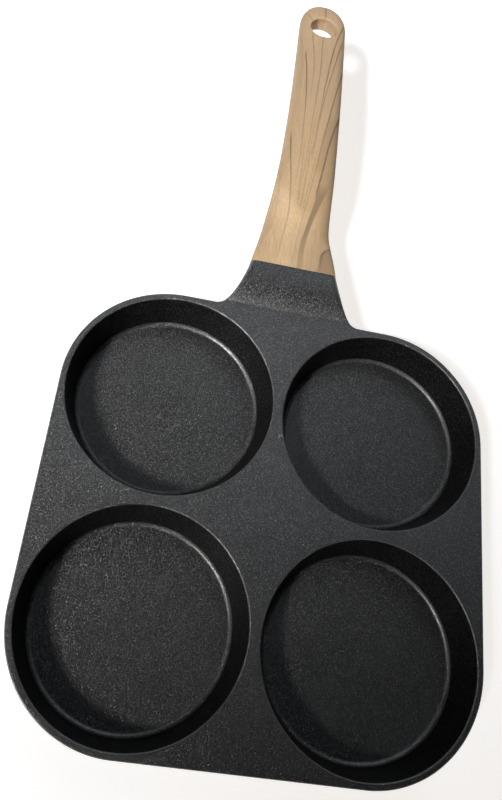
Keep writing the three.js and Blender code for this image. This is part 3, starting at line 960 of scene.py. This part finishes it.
def past_curve(tree, across, along, points):
    """How far across a place is from a curve through the points, to its right."""
    value, *factors = np.polynomial.polynomial.polyfit(*np.array(points).T, len(points) - 1)[::-1]
    for factor in factors:
        value = compute(tree, "MULTIPLY_ADD", along, value, factor)
    return compute(tree, "SUBTRACT", across, value)


def between(tree, value, low, high, soft):
    """1 between two values and 0 outside, with soft ends."""
    rise = fade(tree, value, low - soft, low + soft)
    fall = fade(tree, value, high - soft, high + soft, 1.0, 0.0)
    return compute(tree, "MULTIPLY", rise, fall)


def grain_lines(tree, across, along, unevenness):
    """Strength of the printed lines at a place, the strongest of them where they meet."""
    total = 0.0
    for points, half_width, far_strength, near_strength in GRAIN_LINES:
        near, far = sorted(point[0] for point in points)[:: len(points) - 1]
        distance = compute(tree, "ABSOLUTE", past_curve(tree, across, along, points))
        line = fade(tree, distance, LINE_CORE * half_width, LINE_REACH * half_width, 1.0, 0.0)
        strength = fade(tree, along, near, far, near_strength, far_strength)
        line = product(tree, line, strength, between(tree, along, near, far, GRAIN_FADE))
        total = compute(tree, "MAXIMUM", total, line)
    return compute(tree, "MULTIPLY", total, unevenness)


def area_share(tree, across, along, area):
    edges, ends = area
    shares = [fade(tree, past_curve(tree, across, along, curve), *change) for curve, change in edges]
    shares += [fade(tree, along, *change) for change in ends]
    return product(tree, *shares)


def pale_wood(tree, across, along):
    """Pale wood by the joint: up to a point in the middle, and less of it past the lines on both sides."""
    aside = compute(tree, "MAXIMUM", compute(tree, "SUBTRACT", PALE_POINT[0], across), 0.0)
    height = compute(tree, "MULTIPLY_ADD", aside, -PALE_SPREAD, along)
    return product(tree, fade(tree, height, *PALE_TIP), area_share(tree, across, along, PALE_AREA))


def brown_wood(tree, across, along):
    """Brown streak, the band above it, the shade beside them and a knot at the right edge."""
    strongest = 0.0
    for area in (STREAK, BAND, SHADE_BESIDE, KNOT):
        strongest = compute(tree, "MAXIMUM", strongest, area_share(tree, across, along, area))
    return strongest


def wood_material():
    """Wood print on a moulded handle: fine fibres, and long grain lines that meet towards the pan."""
    material, tree, shader = new_material("wood_print")
    across, along, _ = components(tree, object_place(tree))
    aside, _, facing = components(tree, object_normal(tree))
    top = fade(tree, facing, *TOP_FACING)
    kinds = (FIBRE, FINE_FIBRE, BROAD_BANDS, DRIFT, LINES_BELOW)
    fibre, fine, broad, drift, below = (stretched_noise(tree, *kind) for kind in kinds)
    across = compute(tree, "MULTIPLY_ADD", compute(tree, "SUBTRACT", drift, 0.5), DRIFT_REACH, across)

    # Underneath, the lines come from long noise
    below = product(tree, fade(tree, below, *BELOW_RISE), fade(tree, below, *BELOW_FALL))
    below = product(tree, below, compute(tree, "SUBTRACT", 1.0, top))
    lines = grain_lines(tree, across, along, fade(tree, fibre, *LINE_UNEVENNESS))
    lines = compute(tree, "MAXIMUM", product(tree, lines, top), below)

    colour = mix(tree, fade(tree, along, *NEAR_TO_FAR), WOOD_NEAR, WOOD_FAR)
    colour = mix(tree, product(tree, pale_wood(tree, across, along), top), colour, WOOD_PALE)
    colour = mix(tree, product(tree, brown_wood(tree, across, along), top), colour, WOOD_STREAK)
    for pattern, change in ((broad, BROAD_BROWN), (fibre, FIBRE_BROWN), (fine, FINE_BROWN)):
        colour = mix(tree, fade(tree, pattern, *change), colour, WOOD_BROWN)
    colour = mix(tree, lines, colour, WOOD_LINE)
    # Painted shading: darker on the left side, lighter on the right side, by the normal's x
    colour = vector_math(tree, "SCALE", {0: colour, "Scale": fade(tree, aside, *PAINTED_SIDE_SHADING)})
    feed(tree, shader.inputs["Base Color"], colour)
    feed(tree, shader.inputs["Roughness"], fade(tree, fibre, *WOOD_ROUGHNESS))
    feed(tree, shader.inputs["Normal"], bump(tree, fibre, FIBRE_HEIGHT))
    return material


# Steel
STEEL_DETAIL = 3.0
DISC_DARK = (0.46, 0.46, 0.46, 1)
DISC_PALE = (0.6, 0.6, 0.59, 1)
DISC_ROUGHNESS = (0.3, 0.7, 0.26, 0.42)
TURNING_SCALE = 6.0
TURNING_HEIGHT = 0.02
SCREW_DARK = (0.5, 0.5, 0.49, 1)
SCREW_PALE = (0.66, 0.66, 0.65, 1)
SCREW_ROUGHNESS = (0.3, 0.7, 0.22, 0.4)
SPECKLE_SCALE = 3.0


def dress_steel(tree, shader, pattern, dark, pale, roughness):
    """Bright metal whose colour and roughness follow a pattern."""
    feed(tree, shader.inputs["Base Color"], mix(tree, pattern, dark, pale))
    feed(tree, shader.inputs["Roughness"], fade(tree, pattern, *roughness))
    shader.inputs["Metallic"].default_value = 1.0


def disc_material():
    """Steel with fine turning lines round the middle."""
    material, tree, shader = new_material("disc_steel")
    place = object_place(tree, (1, 1, 0))
    radius = vector_math(tree, "LENGTH", {0: place}, output="Value")
    along_radius = add(tree, "ShaderNodeCombineXYZ", {0: radius})
    lines = noise(tree, along_radius, TURNING_SCALE, detail=STEEL_DETAIL)
    dress_steel(tree, shader, lines, DISC_DARK, DISC_PALE, DISC_ROUGHNESS)
    feed(tree, shader.inputs["Normal"], bump(tree, lines, TURNING_HEIGHT))
    return material


def screw_material():
    """Plated steel with a faint speckle."""
    material, tree, shader = new_material("screw_steel")
    speckle = noise(tree, object_place(tree), SPECKLE_SCALE, detail=STEEL_DETAIL)
    dress_steel(tree, shader, speckle, SCREW_DARK, SCREW_PALE, SCREW_ROUGHNESS)
    return material


coating = coating_material()
wood = wood_material()
disc_steel = disc_material()
screw_steel = screw_material()

finish_piece(pan_casting(), coating, "pan_body")
finish_piece(handle_moulding(), wood, "handle_grip")
for cup_name in CUP_NAMES:
    finish_piece(base_disc(cup_name), disc_steel, f"base_disc_{cup_name}")
finish_piece(cross_screw(), screw_steel, "handle_screw")
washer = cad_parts["screw_washer"]
washer.data.materials.clear()
washer.data.materials.append(screw_steel)


# Stage: a pale floor that sweeps up into a low wall all round

FLOOR_RADIUS = 2200.0
SWEEP_RADIUS = 600.0
SWEEP_POINTS = 24
FLOOR_SIDES = 96
FLOOR_DROP = 0.1

# Paper as it lights the pan, and as it is seen: its glow shows where the lamp's light is kept off
PAPER = (0.86, 0.85, 0.84, 1)
SEEN_PAPER = (0.48, 0.57, 0.66, 1)
PAPER_GLOW = (0.800, 0.755, 0.715, 1)


def stage_floor():
    sweep = [
        (FLOOR_RADIUS + SWEEP_RADIUS * math.sin(angle), SWEEP_RADIUS * (1 - math.cos(angle)))
        for angle in np.linspace(0, math.pi / 2, SWEEP_POINTS)
    ]
    profile = [(0, 0), *sweep]
    floor = new_object("floor", turned([(r, z - FLOOR_DROP) for r, z in profile], 0, 0, FLOOR_SIDES))
    shade(floor)
    material = bpy.data.materials.new("floor_paper")
    material.use_nodes = True
    tree = material.node_tree
    tree.nodes.clear()
    path = tree.nodes.new("ShaderNodeLightPath").outputs
    seen = compute(tree, "MAXIMUM", path["Is Camera Ray"], path["Is Glossy Ray"])
    seen = compute(tree, "MAXIMUM", seen, path["Is Transmission Ray"])
    paper = add(tree, "ShaderNodeBsdfDiffuse", {"Color": mix(tree, seen, PAPER, SEEN_PAPER)})
    glow = add(tree, "ShaderNodeEmission", {"Color": PAPER_GLOW, "Strength": seen})
    surface = add(tree, "ShaderNodeAddShader", {0: paper, 1: glow})
    feed(tree, tree.nodes.new("ShaderNodeOutputMaterial").inputs["Surface"], surface)
    floor.data.materials.append(material)


stage_floor()

# Light: a soft-edged lamp from the front left, and a sky that is brightest behind the pan

KEY_AZIMUTH = math.radians(226.0)
KEY_ELEVATION = math.radians(48.2)
KEY_AIM = (-360.0, 330.0, DECK_TOP)
KEY_DISTANCE = 2500.0
KEY_REACH = 450.0
KEY_LEVEL = 14.5
KEY_ANGLE = math.radians(16)
KEY_COLOUR = (1.0, 0.97, 0.93)
SKY_LEVEL = 0.003
SKY_COLOUR = (0.88, 0.94, 1.0, 1)
SEEN_SKY = (1.0, 1.0, 1.0, 1)
SOFTBOX_LEVEL = 2.1
SOFTBOX_DIRECTION = (0.15, 0.60, 0.786)
SOFTBOX_FALL = 30.0

lamp = bpy.data.objects.new("key", bpy.data.lights.new("key", "SPOT"))
lamp.data.energy = KEY_LEVEL * 4 * math.pi * (KEY_DISTANCE * MM) ** 2
lamp.data.shadow_soft_size = KEY_DISTANCE * MM * math.tan(KEY_ANGLE / 2)
lamp.data.spot_size = 2 * math.atan(KEY_REACH / KEY_DISTANCE)
lamp.data.spot_blend = 1.0
lamp.data.color = KEY_COLOUR
key_direction = Vector((
    math.cos(KEY_ELEVATION) * math.cos(KEY_AZIMUTH),
    math.cos(KEY_ELEVATION) * math.sin(KEY_AZIMUTH),
    math.sin(KEY_ELEVATION),
))
lamp.location = Vector((PAN_CENTRE + KEY_AIM) * MM) + key_direction * KEY_DISTANCE * MM
lamp.rotation_mode = "QUATERNION"
lamp.rotation_quaternion = key_direction.to_track_quat("Z", "Y")
bpy.context.scene.collection.objects.link(lamp)

world = bpy.data.worlds.new("sky")
bpy.context.scene.world = world
world.use_nodes = True
sky = world.node_tree
direction = add(sky, "ShaderNodeTexCoord", {}, output="Generated")
level = vector_math(sky, "DOT_PRODUCT", {0: direction, 1: SOFTBOX_DIRECTION}, output="Value")
level = compute(sky, "POWER", compute(sky, "MAXIMUM", level, 0.0), SOFTBOX_FALL)
level = compute(sky, "MULTIPLY_ADD", level, SOFTBOX_LEVEL, SKY_LEVEL)

# White where the camera sees it
seen = add(sky, "ShaderNodeLightPath", {}, output="Is Camera Ray")
level = compute(sky, "MAXIMUM", level, seen)
feed(sky, sky.nodes["Background"].inputs["Color"], mix(sky, seen, SKY_COLOUR, SEEN_SKY))
feed(sky, sky.nodes["Background"].inputs["Strength"], level)

# Camera at the photograph's viewing angle, for an image of 502 by 800

IMAGE_SIZE = (502, 800)
FOCAL_PIXELS = 773.93
PRINCIPAL_POINT = (238.085, 360.279)
CAMERA_PLACE = (-64.167, -74.073, 316.121 + DECK_TOP)
CAMERA_TARGET = (-20.704, 68.669, DECK_TOP)
CAMERA_ROLL = math.radians(25.886)
SENSOR_WIDTH = 36.0
CLIP_START = 0.01
CLIP_END = 20.0

camera = bpy.data.objects.new("camera", bpy.data.cameras.new("camera"))
bpy.context.scene.collection.objects.link(camera)
bpy.context.scene.camera = camera
place = Vector((PAN_CENTRE + CAMERA_PLACE) * MM)
forward = (Vector((PAN_CENTRE + CAMERA_TARGET) * MM) - place).normalized()
camera.location = place
camera.rotation_mode = "QUATERNION"
camera.rotation_quaternion = Quaternion(forward, -CAMERA_ROLL) @ forward.to_track_quat("-Z", "Y")
long_side = max(IMAGE_SIZE)
camera.data.sensor_width = SENSOR_WIDTH
camera.data.lens = SENSOR_WIDTH * FOCAL_PIXELS / long_side
camera.data.shift_x = (IMAGE_SIZE[0] / 2 - PRINCIPAL_POINT[0]) / long_side
camera.data.shift_y = (PRINCIPAL_POINT[1] - IMAGE_SIZE[1] / 2) / long_side
camera.data.clip_start = CLIP_START
camera.data.clip_end = CLIP_END

bpy.context.scene.view_settings.view_transform = "Standard"
